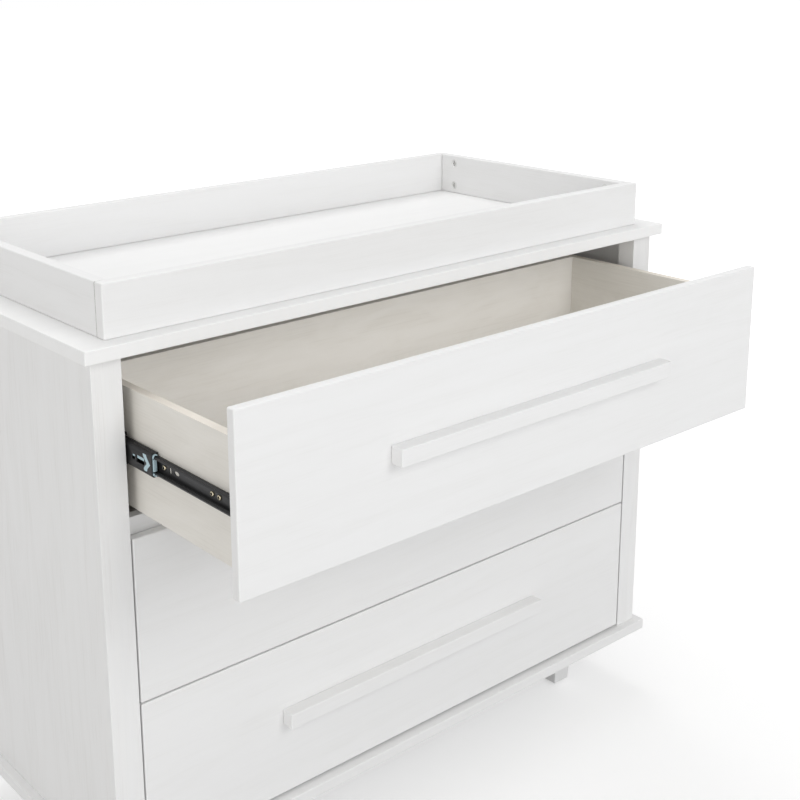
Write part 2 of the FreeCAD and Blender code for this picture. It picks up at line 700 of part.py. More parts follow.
def drawer(name, front_z, front_height, opened):
    """A drawer: its front, box, handle and screws, and the slides on both sides of it."""
    face_y = front_y - opened
    box_y = face_y + size.front_thickness
    box_z = front_z + size.box_rise
    bottom_z = box_z + size.bottom_rise
    bottom_width = inner_width + 2 * size.groove_depth - 2 * size.groove_clearance
    back_y_inside = box_y + size.box_length - size.back_inset - size.box_thickness
    handle_z = front_z + front_height - size.handle_drop - size.handle_height

    board(f"{name}_front", (front_width, size.front_thickness, front_height),
          (-front_width / 2, face_y, front_z), size.front_edge_radius)
    for side, sign in SIDES:
        grooved_side(f"{name}_side_{side}", sign,
                     (low_x(sign, inner_width / 2, size.box_thickness), box_y, box_z))
    board(f"{name}_back",
          (inner_width, size.box_thickness, size.box_height - size.bottom_rise - size.bottom_thickness),
          (-inner_width / 2, back_y_inside, bottom_z + size.bottom_thickness), size.box_edge_radius)
    base = box((bottom_width, size.box_length - size.back_inset, size.bottom_thickness),
               (-bottom_width / 2, box_y, bottom_z))
    keep(base, f"{name}_bottom")
    board(f"{name}_handle", (size.handle_length, size.handle_depth, size.handle_height),
          (-size.handle_length / 2, face_y - size.handle_depth, handle_z), size.handle_edge_radius)

    slide_z = box_z + size.box_height / 2
    slides = slide_pair(opened, slide_z)
    handle_screws = [
        screw((sign * size.handle_screw_spacing / 2, box_y, handle_z + size.handle_height / 2),
              (0, -1, 0), size.front_thickness + size.handle_screw_grip,
              size.handle_screw_diameter, size.handle_head_diameter,
              size.handle_screw_diameter, size.handle_head_height)
        for side, sign in SIDES]
    group(f"{name}_screws", slides.drawer_screws + handle_screws)
    group(f"{name}_slide_runners", slides.runners)
    group(f"{name}_slide_retainers", slides.retainers)
    group(f"{name}_slide_drawer_members", slides.drawer_members)
    for side, sign in SIDES:
        cleats[side].append(
            box((size.post_width + size.cleat_proud,
                 case_depth - size.back_thickness - 2 * size.post_depth, size.cleat_height),
                (low_x(sign, slide_face_x, size.post_width + size.cleat_proud),
                 front_y + size.post_depth, slide_z - size.cleat_height / 2)))
    return slides


cleats = {side: [] for side, sign in SIDES}
case_members = []
case_screws = []
for name, front_z, front_height, opened in (
        ("top_drawer", top_front_z, size.top_front_height, size.rest_opening),
        ("middle_drawer", middle_front_z, size.middle_front_height, 0),
        ("bottom_drawer", bottom_front_z, size.bottom_front_height, 0)):
    slides = drawer(name, front_z, front_height, opened)
    case_members += slides.case_members
    case_screws += slides.case_screws
group("slide_case_members", case_members)
for side, sign in SIDES:
    group(f"slide_cleats_{side}", cleats[side])

last_screw_rise = case_height - size.back_screw_margin
for side, sign in SIDES:
    screw_x = sign * (panel_inner_x - size.post_width / 2)
    for step in range(BACK_SCREWS_PER_SIDE):
        share = step / (BACK_SCREWS_PER_SIDE - 1)
        rise = size.back_screw_margin + share * (last_screw_rise - size.back_screw_margin)
        case_screws.append(small_screw((screw_x, back_y, base_top_z + rise), (0, -1, 0),
                                       size.back_screw_length))
group("case_screws", case_screws)


# ---- check and write -------------------------------------------------------------------------

doc.recompute()
for item in doc.Objects:
    if "Invalid" in item.State or "Error" in item.State:
        raise ValueError(f"{item.Name} ({item.Label}) did not build: {item.State}")
for piece in nodes:
    if piece.Shape.isNull() or not piece.Shape.isValid():
        raise ValueError(f"{piece.Label} has no valid shape")

os.makedirs("parts", exist_ok=True)
for piece in nodes:
    piece.Shape.exportStep(f"parts/{piece.Label}.step")
print(len(nodes), "pieces written")
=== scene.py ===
import bpy
import bmesh
from math import radians
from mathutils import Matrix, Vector


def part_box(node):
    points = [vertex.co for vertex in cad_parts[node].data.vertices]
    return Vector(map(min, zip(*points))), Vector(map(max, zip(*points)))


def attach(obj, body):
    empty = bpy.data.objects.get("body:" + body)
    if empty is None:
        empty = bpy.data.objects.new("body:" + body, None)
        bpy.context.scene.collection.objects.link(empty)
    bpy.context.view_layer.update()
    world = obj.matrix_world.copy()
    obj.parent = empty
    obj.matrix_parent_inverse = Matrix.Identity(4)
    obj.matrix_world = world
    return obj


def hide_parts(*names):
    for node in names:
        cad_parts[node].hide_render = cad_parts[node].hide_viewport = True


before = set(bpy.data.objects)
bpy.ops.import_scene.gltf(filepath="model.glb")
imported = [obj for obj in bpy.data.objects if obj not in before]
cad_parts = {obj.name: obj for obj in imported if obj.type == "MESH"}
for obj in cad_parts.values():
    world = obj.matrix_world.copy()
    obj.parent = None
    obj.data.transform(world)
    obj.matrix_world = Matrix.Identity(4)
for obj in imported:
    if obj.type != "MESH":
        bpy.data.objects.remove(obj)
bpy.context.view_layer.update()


# ---- The view ---------------------------------------------------------------------------------
# A camera to the dresser's front left, a little above the tray, with a slightly long lens. The
# photograph is a part of a larger one, off its centre, so the frame is shifted to the right of
# the lens's axis and down.

bpy.ops.object.camera_add(
    location=(-1.2293, -1.4516, 1.3073),
    rotation=(radians(75.947), radians(0.669), radians(-39.429)))
camera = bpy.context.object
camera.data.sensor_width = 36
camera.data.lens = 58.97
camera.data.shift_x = 0.075
camera.data.shift_y = -0.15625
bpy.context.scene.camera = camera
bpy.context.scene.view_settings.view_transform = "Standard"


# ---- The studio -------------------------------------------------------------------------------
# A white room with four softboxes: a low and a high one in front, whose light reaches into the
# open drawer, one high up at the back and one at the left. The pale floor fades into the
# background.

def add_node(tree, kind, **values):
    """A new shader node, with its sockets set by name."""
    new = tree.nodes.new(kind)
    for name, value in values.items():
        new.inputs[name.replace("_", " ")].default_value = value
    return new


def calculate(tree, operation, *values):
    """The result of a maths node. Each value is a number or the socket of another node."""
    new = tree.nodes.new("ShaderNodeMath")
    new.operation = operation
    for socket, value in zip(new.inputs, values):
        if isinstance(value, bpy.types.NodeSocket):
            tree.links.new(value, socket)
        else:
            socket.default_value = value
    return new.outputs[0]


def remap(tree, value, low, high, to_low, to_high):
    """A value that runs from low to high, carried over to another range."""
    new = add_node(tree, "ShaderNodeMapRange", From_Min=low, From_Max=high, To_Min=to_low,
                   To_Max=to_high)
    tree.links.new(value, new.inputs["Value"])
    return new.outputs[0]


def seen_directly(tree):
    """One for rays that come straight from the camera, off a gloss or through glass, else zero."""
    path = tree.nodes.new("ShaderNodeLightPath").outputs
    mirrored = calculate(tree, "MAXIMUM", path["Is Camera Ray"], path["Is Glossy Ray"])
    return calculate(tree, "MAXIMUM", mirrored, path["Is Transmission Ray"])


room = bpy.data.worlds.new("white room")
bpy.context.scene.world = room
room.use_nodes = True
tree = room.node_tree
tree.nodes.clear()
room_light = 0.48
air = add_node(tree, "ShaderNodeBackground", Color=(1, 1, 1, 1))
tree.links.new(remap(tree, seen_directly(tree), 0, 1, room_light, 1), air.inputs["Strength"])
tree.links.new(air.outputs[0], tree.nodes.new("ShaderNodeOutputWorld").inputs["Surface"])

dresser_middle = Vector((0, 0, 0.5))
for place, width, watts, tint in (((-1.1, -6.5, 1.6), 2.6, 77, (0.98, 0.99, 1.0)),
                                  ((0.6, -4.2, 3.2), 2.4, 62, (1.0, 1.0, 1.0)),
                                  ((0.2, 2.2, 5.6), 3.8, 119, (1.0, 1.0, 1.0)),
                                  ((-3.6, -1.2, 1.6), 2.0, 28, (1.0, 0.985, 0.955))):
    bpy.ops.object.light_add(type="AREA", location=place)
    softbox = bpy.context.object
    softbox.data.shape = "SQUARE"
    softbox.data.size = width
    softbox.data.energy = watts
    softbox.data.color = tint
    aim = dresser_middle - softbox.location
    softbox.rotation_euler = aim.to_track_quat("-Z", "Y").to_euler()

bpy.ops.mesh.primitive_circle_add(vertices=64, radius=30, fill_type="NGON", location=(0, 0, 0))
floor = bpy.context.object
floor.name = "floor"
floor_finish = bpy.data.materials.new("pale floor")
floor_finish.use_nodes = True
tree = floor_finish.node_tree
tree.nodes.clear()
matt = add_node(tree, "ShaderNodeBsdfDiffuse", Color=(0.62, 0.62, 0.62, 1))
glow = add_node(tree, "ShaderNodeEmission", Color=(1, 1, 1, 1))
distance = tree.nodes.new("ShaderNodeVectorMath")
distance.operation = "LENGTH"
tree.links.new(tree.nodes.new("ShaderNodeTexCoord").outputs["Object"], distance.inputs[0])
near_edge, far_edge = 1.2, 4.0
near_glow, far_glow = 0.46, 0.95
fade = remap(tree, distance.outputs["Value"], near_edge, far_edge, near_glow, far_glow)
tree.links.new(calculate(tree, "MULTIPLY", seen_directly(tree), fade), glow.inputs["Strength"])
both = tree.nodes.new("ShaderNodeAddShader")
tree.links.new(matt.outputs[0], both.inputs[0])
tree.links.new(glow.outputs[0], both.inputs[1])
tree.links.new(both.outputs[0], tree.nodes.new("ShaderNodeOutputMaterial").inputs["Surface"])
floor.data.materials.append(floor_finish)


# ---- Top and base boards ----------------------------------------------------------------------
# Two equal boards of 18 mm, the top one and the one that carries the case on its legs. Wood with
# sprayed satin white paint, through which a faint grain shows along each board's length.

def two_tone(tree, value, low, high, dark, light):
    """A colour that goes from dark to light while the value goes from low to high."""
    ramp = tree.nodes.new("ShaderNodeValToRGB")
    for end, position, colour in zip(ramp.color_ramp.elements, (low, high), (dark, light)):
        end.position = position
        end.color = (*colour, 1)
    tree.links.new(value, ramp.inputs["Fac"])
    return ramp.outputs["Color"]


def mix_colours(tree, factor, under, over):
    """A socket's colour with a plain colour laid over it, as far as the factor says."""
    mix = tree.nodes.new("ShaderNodeMix")
    mix.data_type = "RGBA"
    under_socket, over_socket = mix.inputs[6:8]
    colour_result = mix.outputs[2]
    tree.links.new(factor, mix.inputs["Factor"])
    tree.links.new(under, under_socket)
    over_socket.default_value = (*over, 1)
    return colour_result


def emboss(tree, height, strength, relief_mm):
    """Gives a finish a fine relief."""
    bump = add_node(tree, "ShaderNodeBump", Strength=strength, Distance=relief_mm / 1000)
    tree.links.new(height, bump.inputs["Height"])
    tree.links.new(bump.outputs[0], tree.nodes["Principled BSDF"].inputs["Normal"])


def grained(name, along, light, dark, fibre_mm, figure_mm, stretch, pores, relief_mm, roughness):
    """A wood finish with its grain along one axis: fine fibres over a broad wavy figure that is
    stretched along them, and short dark pores where the figure is open."""
    finish = bpy.data.materials.new(name)
    finish.use_nodes = True
    tree = finish.node_tree
    shader = tree.nodes["Principled BSDF"]
    place = tree.nodes.new("ShaderNodeTexCoord").outputs["Object"]

    def pattern(width_mm, length_mm, detail, distortion):
        scaled = tree.nodes.new("ShaderNodeMapping")
        scaled.inputs["Scale"].default_value = [
            1000 / (length_mm if axis == along else width_mm) for axis in "XYZ"]
        tree.links.new(place, scaled.inputs["Vector"])
        noise = add_node(tree, "ShaderNodeTexNoise", Scale=1.0, Detail=detail, Roughness=0.55,
                         Distortion=distortion)
        tree.links.new(scaled.outputs[0], noise.inputs["Vector"])
        return noise.outputs["Fac"]

    fibre_stretch = 45
    pore_brown = (0.40, 0.37, 0.33)
    fibre = pattern(fibre_mm, fibre_mm * fibre_stretch, detail=4, distortion=0.2)
    figure = pattern(figure_mm, figure_mm * stretch, detail=3, distortion=1.3)
    grain = add_node(tree, "ShaderNodeMix", Factor=0.3)
    tree.links.new(figure, grain.inputs["A"])
    tree.links.new(fibre, grain.inputs["B"])
    wood = two_tone(tree, grain.outputs["Result"], 0.36, 0.62, dark, light)
    open_pore = calculate(tree, "MULTIPLY", remap(tree, fibre, 0.47, 0.40, 0, 1),
                          remap(tree, figure, 0.54, 0.44, 0, pores))
    tree.links.new(mix_colours(tree, open_pore, wood, pore_brown), shader.inputs["Base Color"])
    tree.links.new(remap(tree, figure, 0.3, 0.7, roughness + 0.05, roughness - 0.05),
                   shader.inputs["Roughness"])
    emboss(tree, fibre, 0.35, relief_mm)
    return finish


def finish_nodes(material, *names):
    """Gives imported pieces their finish."""
    for name in names:
        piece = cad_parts[name]
        if not piece.material_slots:
            piece.data.materials.append(material)
        for slot in piece.material_slots:
            slot.material = material


paint_light = (0.838, 0.838, 0.838)
paint_dark = (0.823, 0.822, 0.819)
paint_across = grained("white paint, grain left to right", "X", paint_light, paint_dark,
                       fibre_mm=1.6, figure_mm=34, stretch=9, pores=0.02, relief_mm=0.06,
                       roughness=0.40)
finish_nodes(paint_across, "base_panel")
# Painted light: the top board gets a lighter copy of the same white paint, which stands in for the
# brighter light on its upper face.
top_paint_lightened = grained("white paint of the top board, lightened as painted light", "X", (0.892, 0.892, 0.890),
                    (0.882, 0.882, 0.879), fibre_mm=1.6, figure_mm=34, stretch=9, pores=0.01,
                    relief_mm=0.04, roughness=0.42)
finish_nodes(top_paint_lightened, "top_panel")


# ---- Case -------------------------------------------------------------------------------------
# Side panels and corner posts of wood with upright grain, and rails between the posts, all
# painted like the boards. A thin white-faced back panel is screwed to the rear posts, and the
# strips that carry the slides are bare softwood.

paint_upright = grained("white paint, grain upright", "Z", paint_light, paint_dark,
                        fibre_mm=1.6, figure_mm=24, stretch=9, pores=0.015, relief_mm=0.04,
                        roughness=0.40)
finish_nodes(paint_upright, "front_post_left", "front_post_right", "rear_post_left",
             "rear_post_right")
paint_panel = grained("white paint on open grain", "Z", (0.843, 0.842, 0.840),
                      (0.826, 0.824, 0.819), fibre_mm=2.0, figure_mm=30, stretch=8, pores=0.06,
                      relief_mm=0.07, roughness=0.42)
finish_nodes(paint_panel, "side_panel_left", "side_panel_right")
finish_nodes(paint_across, "rail_upper", "rail_lower", "rear_rail")

back_face = grained("white faced back board", "Z", (0.80, 0.80, 0.79), (0.775, 0.775, 0.765),
                    fibre_mm=2.4, figure_mm=60, stretch=6, pores=0.05, relief_mm=0.05,
                    roughness=0.55)
finish_nodes(back_face, "back_panel")

softwood = grained("planed softwood", "Y", (0.62, 0.44, 0.25), (0.48, 0.31, 0.16),
                   fibre_mm=1.2, figure_mm=12, stretch=12, pores=0.2, relief_mm=0.2,
                   roughness=0.62)
finish_nodes(softwood, "slide_cleats_left", "slide_cleats_right")


# ---- Legs -------------------------------------------------------------------------------------
# Four tapered wooden legs, painted like the case and held up to the base board by steel bolts.
# Each stands on a moulded grey glide with a rounded rim and a shallow hollow underneath.

finish_nodes(paint_upright, "leg_front_left", "leg_front_right", "leg_rear_left", "leg_rear_right")


def plain_finish(name, colour, shade, metallic, roughness, grain_mm, relief_mm):
    """A metal or moulded plastic finish with a fine uneven skin, and painted shade in the recess of
    a screw.
    """
    finish = bpy.data.materials.new(name)
    finish.use_nodes = True
    tree = finish.node_tree
    shader = tree.nodes["Principled BSDF"]
    shader.inputs["Metallic"].default_value = metallic
    noise = add_node(tree, "ShaderNodeTexNoise", Scale=1000 / grain_mm, Detail=3, Roughness=0.6)
    tree.links.new(tree.nodes.new("ShaderNodeTexCoord").outputs["Object"], noise.inputs["Vector"])
    skin = noise.outputs["Fac"]
    # Painted shade: the faces inside a screw's cross recess, marked by the attribute recess, are
    # coloured near black to stand in for the shade in it.
    recess = tree.nodes.new("ShaderNodeAttribute")
    recess.attribute_name = "recess"
    recess_painted_shade = (0.03, 0.03, 0.03)
    with_recess_shade = mix_colours(tree, recess.outputs["Fac"],
                           two_tone(tree, skin, 0.3, 0.7, shade, colour), recess_painted_shade)
    tree.links.new(with_recess_shade, shader.inputs["Base Color"])
    tree.links.new(remap(tree, skin, 0, 1, roughness - 0.05, roughness + 0.05),
                   shader.inputs["Roughness"])
    emboss(tree, skin, 0.3, relief_mm)
    return finish


zinc = plain_finish("bright zinc", (0.60, 0.61, 0.62), (0.48, 0.49, 0.50), metallic=1.0,
                    roughness=0.34, grain_mm=0.8, relief_mm=0.02)
finish_nodes(zinc, "leg_bolts")


def only(piece):
    """Makes one object the only selected one, and the active one."""
    bpy.ops.object.select_all(action="DESELECT")
    piece.select_set(True)
    bpy.context.view_layer.objects.active = piece


def start(name):
    """Names the primitive that was just added, and puts its place into its mesh."""
    piece = bpy.context.object
    piece.name = name
    piece.data.name = name
    bpy.ops.object.transform_apply(location=True, rotation=True, scale=True)
    return piece


def near(one, other):
    """Whether two measures are the same, but for rounding."""
    return abs(one - other) < 1e-5


def pick(kind, test):
    """In edit mode, selects the verts, edges or faces whose middle passes the test."""
    mesh = bmesh.from_edit_mesh(bpy.context.object.data)
    kinds = ("verts", "edges", "faces")
    bpy.context.tool_settings.mesh_select_mode = [kind == each for each in kinds]
    for element in (*mesh.verts, *mesh.edges, *mesh.faces):
        element.select_set(False)
    for element in getattr(mesh, kind):
        corners = [element.co] if kind == "verts" else [vert.co for vert in element.verts]
        if test(sum(corners, Vector()) / len(corners)):
            element.select_set(True)
    mesh.select_flush_mode()
    bmesh.update_edit_mesh(bpy.context.object.data)


def join(pieces, name):
    """Several objects made one."""
    only(pieces[0])
    for piece in pieces:
        piece.select_set(True)
    bpy.ops.object.join()
    pieces[0].name = name
    pieces[0].data.name = name
    return pieces[0]


def copy_of(piece, move=(0, 0, 0), mirrored=False):
    """A copy with its own mesh, moved and, where asked, mirrored from left to right."""
    only(piece)
    bpy.ops.object.duplicate()
    new = bpy.context.object
    new.location = move
    if mirrored:
        new.scale.x = -1
    bpy.ops.object.transform_apply(location=True, rotation=True, scale=True)
    if mirrored:
        bpy.ops.object.mode_set(mode="EDIT")
        bpy.ops.mesh.select_all(action="SELECT")
        bpy.ops.mesh.normals_make_consistent(inside=False)
        bpy.ops.object.mode_set(mode="OBJECT")
    return new


def solids_in(node):
    """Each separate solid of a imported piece, from left to right: its lowest corner, its highest
    corner and its points."""
    mesh = bmesh.new()
    mesh.from_mesh(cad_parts[node].data)
    bmesh.ops.remove_doubles(mesh, verts=mesh.verts, dist=1e-6)
    left, found = set(mesh.verts), []
    while left:
        waiting, points = [left.pop()], []
        while waiting:
            vert = waiting.pop()
            points.append(vert.co.copy())
            for edge in vert.link_edges:
                other = edge.other_vert(vert)
                if other in left:
                    left.remove(other)
                    waiting.append(other)
        found.append((Vector(map(min, *points)), Vector(map(max, *points)), points))
    mesh.free()
    return sorted(found, key=lambda solid: tuple(solid[0]))


def repeat(piece, solids):
    """A piece that was modelled at the first solid, and a copy of it at each of the others."""
    first_low = solids[0][0]
    return [piece] + [copy_of(piece, solid[0] - first_low) for solid in solids[1:]]


def dress(piece, material, body, slot, *nodes):
    """Finishes a piece: its material, what it moves with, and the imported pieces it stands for."""
    piece.data.materials.clear()
    piece.data.materials.append(material)
    only(piece)
    bpy.ops.object.shade_smooth_by_angle(angle=radians(32))
    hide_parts(*nodes)
    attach(piece, body)


glide_plastic = plain_finish("grey moulded plastic", (0.17, 0.17, 0.175), (0.145, 0.145, 0.15),
                             metallic=0.0, roughness=0.5, grain_mm=1.5, relief_mm=0.03)
feet = solids_in("leg_glides")
low, high, _ = feet[0]
bpy.ops.mesh.primitive_cylinder_add(vertices=32, radius=(high.x - low.x) / 2,
                                    depth=high.z - low.z, location=(low + high) / 2)
glide = start("glide")
bpy.ops.object.mode_set(mode="EDIT")
pick("faces", lambda place: near(place.z, low.z))
bpy.ops.mesh.bevel(offset=0.0012, segments=3, affect="EDGES")
pick("faces", lambda place: near(place.z, low.z))
bpy.ops.mesh.inset(thickness=0.004, depth=0)
bpy.ops.mesh.inset(thickness=0.0008, depth=-0.0006)
bpy.ops.object.mode_set(mode="OBJECT")
dress(join(repeat(glide, feet), "glides"), glide_plastic, "case", "grey_plastic", "leg_glides")


# ---- Tray -------------------------------------------------------------------------------------
# A frame of four painted boards of 18 mm round the changing pad's place. Cam locks draw its end
# boards to the front and back ones, where a thin line of painted shade stands in for the shadow in
# the joint, and two steel angles at its back hold it to the top board.

finish_nodes(paint_across, "tray_front", "tray_back")
paint_deep = grained("white paint, grain front to back", "Y", paint_light, paint_dark,
                     fibre_mm=1.6, figure_mm=26, stretch=9, pores=0.03, relief_mm=0.05,
                     roughness=0.40)
finish_nodes(paint_deep, "tray_left", "tray_right")


def one_axis(tree, vector, axis):
    """One of the three numbers of a vector."""
    split = tree.nodes.new("ShaderNodeSeparateXYZ")
    tree.links.new(vector, split.inputs[0])
    return split.outputs[axis]


def paint_over(finish, where, colour):
    """Gives a finish another colour where the value is one."""
    base = finish.node_tree.nodes["Principled BSDF"].inputs["Base Color"]
    own_colour = base.links[0].from_socket
    finish.node_tree.links.new(mix_colours(finish.node_tree, where, own_colour, colour), base)


# Painted shade: a thin dark band at each end of the end boards stands in for the shadow in the
# joint with the front and back boards.
low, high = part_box("tray_left")
joint_shade_width = 0.0006
tree = paint_deep.node_tree
along_board = one_axis(tree, tree.nodes.new("ShaderNodeTexCoord").outputs["Object"], "Y")
from_middle = calculate(tree, "ABSOLUTE",
                        calculate(tree, "SUBTRACT", along_board, (low.y + high.y) / 2))
in_joint_shade = calculate(tree, "GREATER_THAN", from_middle, (high.y - low.y) / 2 - joint_shade_width)
paint_over(paint_deep, in_joint_shade, (0.36, 0.35, 0.33))


def extrude(x, y, z):
    """In edit mode, extrudes what is selected and moves it."""
    bpy.ops.mesh.extrude_region_move(TRANSFORM_OT_translate={"value": (x, y, z)})


def block(name, middle, size):
    """A rectangular block."""
    bpy.ops.mesh.primitive_cube_add(size=1, location=middle, scale=size)
    return start(name)


def modify(piece, kind, **settings):
    """Adds a modifier, sets it and applies it."""
    only(piece)
    bpy.ops.object.modifier_add(type=kind)
    modifier = piece.modifiers[-1]
    for name, value in settings.items():
        setattr(modifier, name, value)
    bpy.ops.object.modifier_apply(modifier=modifier.name)


def cut(piece, tool):
    """Cuts the shape of one object out of another, and removes it."""
    modify(piece, "BOOLEAN", object=tool, operation="DIFFERENCE", solver="EXACT")
    bpy.data.objects.remove(tool)


cast_zinc = plain_finish("die-cast zinc", (0.80, 0.80, 0.79), (0.69, 0.69, 0.68), metallic=0.75,
                         roughness=0.45, grain_mm=0.8, relief_mm=0.02)
fittings = solids_in("tray_cam_fittings")
thickest_pin = 0.01
pins = [solid for solid in fittings if solid[1].z - solid[0].z < thickest_pin]
left_locks = [solid for solid in fittings if solid not in pins and solid[1].x < 0]

low, high, _ = left_locks[0]
middle = (low + high) / 2
lock_face = Vector((high.x, middle.y, middle.z))
bpy.ops.mesh.primitive_cylinder_add(
    vertices=48, radius=(high.z - low.z) / 2, depth=high.x - low.x, location=middle,
    rotation=(0, radians(90), 0))
lock = start("cam lock")
bpy.ops.object.mode_set(mode="EDIT")
pick("faces", lambda place: near(place.x, lock_face.x))
for inward, up in ((0.0009, 0), (0.0005, -0.0007), (0.0011, 0), (0.0003, 0.0003)):
    bpy.ops.mesh.inset(thickness=inward, depth=up)
bpy.ops.object.mode_set(mode="OBJECT")
slot_depth, slot_width, slot_length = 0.0062, 0.0026, 0.0086
cut(lock, block("slot", lock_face, (slot_depth, slot_width, slot_length)))
cut(lock, block("slot", lock_face, (slot_depth, slot_length, slot_width)))
bpy.ops.mesh.primitive_cone_add(vertices=24, radius1=0.0029, radius2=0.0012, depth=0.0074,
                                location=lock_face, rotation=(0, radians(-90), 0))
cut(lock, start("socket"))
locks = repeat(lock, left_locks)
locks += [copy_of(each, mirrored=True) for each in locks]

low, high, _ = pins[0]
bpy.ops.mesh.primitive_cylinder_add(
    vertices=20, radius=(high.z - low.z) / 2, depth=high.y - low.y, location=(low + high) / 2,
    rotation=(radians(90), 0, 0))
pin = start("cam pin")
bpy.ops.object.mode_set(mode="EDIT")
pick("edges", lambda place: near(place.y, low.y) or near(place.y, high.y))
bpy.ops.mesh.bevel(offset=0.0005, segments=2, affect="EDGES")
bpy.ops.object.mode_set(mode="OBJECT")
dress(join(locks + repeat(pin, pins), "cam_locks_and_pins"), cast_zinc, "tray", "zinc",
      "tray_cam_fittings")

brackets = solids_in("tray_brackets")
low, high, _ = brackets[0]
gauge = 0.002
upright = high.z - low.z - gauge / 2
bpy.ops.mesh.primitive_plane_add(
    size=1, location=((low.x + high.x) / 2, low.y + gauge / 2, high.z - upright / 2),
    rotation=(radians(90), 0, 0))
bpy.context.object.scale = (high.x - low.x, upright, 1)
angle = start("angle")
bpy.ops.object.mode_set(mode="EDIT")
pick("edges", lambda place: near(place.z, low.z + gauge / 2))
extrude(0, high.y - low.y - gauge / 2, 0)
pick("edges", lambda place: near(place.z, low.z + gauge / 2) and near(place.y, low.y + gauge / 2))
bpy.ops.mesh.bevel(offset=0.002, segments=4, affect="EDGES")
pick("verts", lambda place: near(place.z, high.z) or near(place.y, high.y))
bpy.ops.mesh.bevel(offset=0.004, segments=4, affect="VERTICES")
bpy.ops.object.mode_set(mode="OBJECT")
modify(angle, "SOLIDIFY", thickness=gauge, offset=0, use_even_offset=True)
dress(join(repeat(angle, brackets), "tray_angles"), zinc, "tray", "zinc", "tray_brackets")


# ---- Screws of the tray and of the case -------------------------------------------------------
# Pressed and plated steel screws with a cross recess: domed heads on the tray's angles and the
# back panel, and flush ones through the slides' case members into the wooden strips.

def make_screw(name, head, height, shank, length):
    """A screw that points down from the seat of its head at the origin. The attribute recess is
    one on the faces inside its cross recess, which lie near its axis and between seat and top, and
    marks where the finish paints shade."""
    bpy.ops.mesh.primitive_cylinder_add(vertices=32, radius=head / 2, depth=height,
                                        location=(0, 0, height / 2))
    screw = start(name)
    bpy.ops.object.mode_set(mode="EDIT")
    pick("faces", lambda place: near(place.z, height))
    bpy.ops.mesh.bevel(offset=height * 0.55, segments=4, affect="EDGES")
    pick("faces", lambda place: near(place.length, 0))
    bpy.ops.mesh.inset(thickness=(head - shank) / 2, depth=0)
    point = length * 0.2
    extrude(0, 0, point - length)
    extrude(0, 0, -point)
    bpy.ops.transform.resize(value=(0.25, 0.25, 1))
    bpy.ops.object.mode_set(mode="OBJECT")

    top, arm_width, arm_length, arm_depth = (0, 0, height), head * 0.18, head * 0.62, height * 1.1
    recess = [block("recess", top, (arm_width, arm_length, arm_depth)),
              block("recess", top, (arm_length, arm_width, arm_depth))]
    bpy.ops.mesh.primitive_cone_add(vertices=24, radius1=0, radius2=head * 0.56,
                                    depth=height * 3, location=top)
    recess.append(start("recess"))
    for part in recess:
        cut(screw, part)
    # Painted shade: the attribute marks the faces in the cross recess, which the finish colours
    # near black for the shade in it.
    dark = screw.data.attributes.new("recess", "FLOAT", "FACE")
    for face in screw.data.polygons:
        across = face.center.xy.length / head
        up = face.center.z / height
        dark.data[face.index].value = float(across < 0.31 and 0.01 < up < 0.97)
    return screw


def place_screws(screw, solids):
    """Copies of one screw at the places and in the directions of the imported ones."""
    top = max(vert.co.z for vert in screw.data.vertices)
    copies = []
    for low, high, points in solids:
        size = high - low
        middle = (low + high) / 2
        axis = max(range(3), key=lambda each: size[each])

        def thickness(end):
            return max((point - middle)[(axis + 1) % 3] for point in points
                       if abs(point[axis] - end[axis]) < size[axis] * 0.3)

        head_end, way = (high, 1) if thickness(high) > thickness(low) else (low, -1)
        out = Vector((0, 0, 0))
        out[axis] = way
        new = copy_of(screw)
        new.rotation_euler = out.to_track_quat("Z", "Y").to_euler()
        middle[axis] = head_end[axis] - way * top
        new.location = middle
        only(new)
        bpy.ops.object.transform_apply(location=True, rotation=True, scale=True)
        copies.append(new)
    return copies


def lies_across(solid):
    """Whether a packed screw lies from left to right, and not from front to back."""
    size = solid[1] - solid[0]
    return size.x > size.y


tray_screw = make_screw("bracket screw", head=0.007, height=0.0018, shank=0.0035, length=0.012)
dress(join(place_screws(tray_screw, solids_in("tray_screws")), "tray_angle_screws"),
      zinc, "tray", "plated_steel", "tray_screws")
back_screw = make_screw("back panel screw", head=0.007, height=0.0018, shank=0.0035, length=0.016)
flush_screw = make_screw("flush screw", head=0.0076, height=0.0012, shank=0.0035, length=0.009)
fixed_solids = solids_in("case_screws")
rear = place_screws(back_screw, [solid for solid in fixed_solids if not lies_across(solid)])
inside = place_screws(flush_screw, [solid for solid in fixed_solids if lies_across(solid)])
dress(join(rear + inside, "case_screw_set"), zinc, "case", "plated_steel", "case_screws")
for pattern in (tray_screw, back_screw, flush_screw):
    bpy.data.objects.remove(pattern)


# ---- Drawer fronts and handles ----------------------------------------------------------------
# Painted slabs of 14 mm with eased edges. Each carries a square bar handle of painted wood,
# screwed on from inside the drawer.

drawers = ("top", "middle", "bottom")
for drawer in drawers:
    finish_nodes(paint_across, f"{drawer}_drawer_front", f"{drawer}_drawer_handle")


# ---- Drawer boxes -----------------------------------------------------------------------------
# Sides of 12 mm board with a washed grey-beige wood face and a cream edge strip on top. The back
# and the thin bottom share a much paler copy of the board: partly the back's own paler tone, partly
# painted light that brightens the drawer's inside. The thin bottom slides into grooves in the
# sides.

